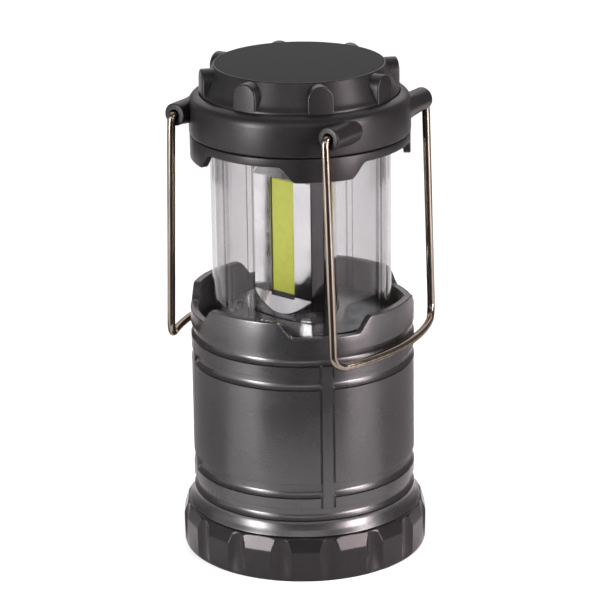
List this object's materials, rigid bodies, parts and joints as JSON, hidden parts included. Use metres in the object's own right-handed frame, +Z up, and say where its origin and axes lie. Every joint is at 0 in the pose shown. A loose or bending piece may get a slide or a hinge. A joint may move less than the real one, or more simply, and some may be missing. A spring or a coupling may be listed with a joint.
{
  "type": "camping lantern",
  "caption": "Pop-up camping lantern with a pull-up head, clear lens tube, LED pillar, wire bails and a twist-off battery cover.",
  "frame": {"origin": "centre of the underside of the battery cover, on the surface the lantern stands on", "axes": "+Z up along the lantern's axis; +X points out through the middle of one bail, and both bail pivots run along Y"},
  "size_m": [0.086, 0.086, 0.1729],
  "materials": {
    "body_grey": "satin metallic dark grey paint on moulded ABS",
    "cover_grey": "darker, glossier grey, moulded ABS",
    "matte_grey": "fine matte texture",
    "inner_black": "plain black moulding",
    "circuit_board": "solder mask",
    "bright_plating": "vacuum-plated plastic mirror",
    "clear_lens": "clear moulded polystyrene",
    "phosphor": "yellow silicone over LED chips",
    "cell_sleeve": "plain printed sleeve, no mark",
    "plated_steel": "nickel plated",
    "contact_brass": "bright strip",
    "bail_wire": "bright nickel-plated wire",
    "seal_rubber": "soft black ring"
  },
  "bodies": {
    "base": {"base_shell": "body_grey", "battery_holder": "inner_black", "driver_board": "circuit_board", "reflector_plate": "bright_plating", "cell_1": "cell_sleeve", "cell_2": "cell_sleeve", "cell_3": "cell_sleeve", "cell_contact_1": "plated_steel", "cell_contact_2": "plated_steel", "cell_contact_3": "plated_steel", "holder_screw_1": "plated_steel", "holder_screw_2": "plated_steel", "holder_screw_3": "plated_steel", "well_contact_1": "contact_brass", "well_contact_2": "contact_brass"},
    "head": {"crown": "body_grey", "top_inlay": "matte_grey", "cap_band": "body_grey", "skirt_ring": "body_grey", "head_plate": "inner_black", "lens_tube": "clear_lens", "pillar_core": "bright_plating", "reflector_1": "bright_plating", "reflector_2": "bright_plating", "reflector_3": "bright_plating", "cob_strip_1": "phosphor", "cob_strip_2": "phosphor", "cob_strip_3": "phosphor", "head_screw_1": "plated_steel", "head_screw_2": "plated_steel", "head_screw_3": "plated_steel", "pillar_wiper_1": "contact_brass", "pillar_wiper_2": "contact_brass"},
    "bail_right": {"bail_right": "bail_wire"},
    "bail_left": {"bail_left": "bail_wire"},
    "cover_seal": {"cover_gasket": "seal_rubber"},
    "battery_cover": {"battery_cover": "cover_grey", "bridge_plate": "plated_steel", "pad_plate": "plated_steel", "cell_spring_1": "plated_steel", "cell_spring_2": "plated_steel", "cell_spring_3": "plated_steel"}
  },
  "joints": [
    {"name": "head_slide", "type": "slide", "parent": "base", "child": "head", "axis": [0, 0, 1], "range_m": [-0.0533, 0]},
    {"name": "bail_right_swing", "type": "hinge", "parent": "head", "child": "bail_right", "pos_m": [0.0306, 0, 0.1573], "axis": [0, -1, 0], "range_deg": [0, 194]},
    {"name": "bail_left_swing", "type": "hinge", "parent": "head", "child": "bail_left", "pos_m": [-0.0306, 0, 0.1573], "axis": [0, 1, 0], "range_deg": [0, 194]},
    {"name": "cover_slide", "type": "slide", "parent": "base", "child": "cover_seal", "axis": [0, 0, 1], "range_m": [-0.03, 0]},
    {"name": "cover_twist", "type": "hinge", "parent": "cover_seal", "child": "battery_cover", "pos_m": [0, 0, 0.0078], "axis": [0, 0, 1], "range_deg": [0, 30]}
  ]
}
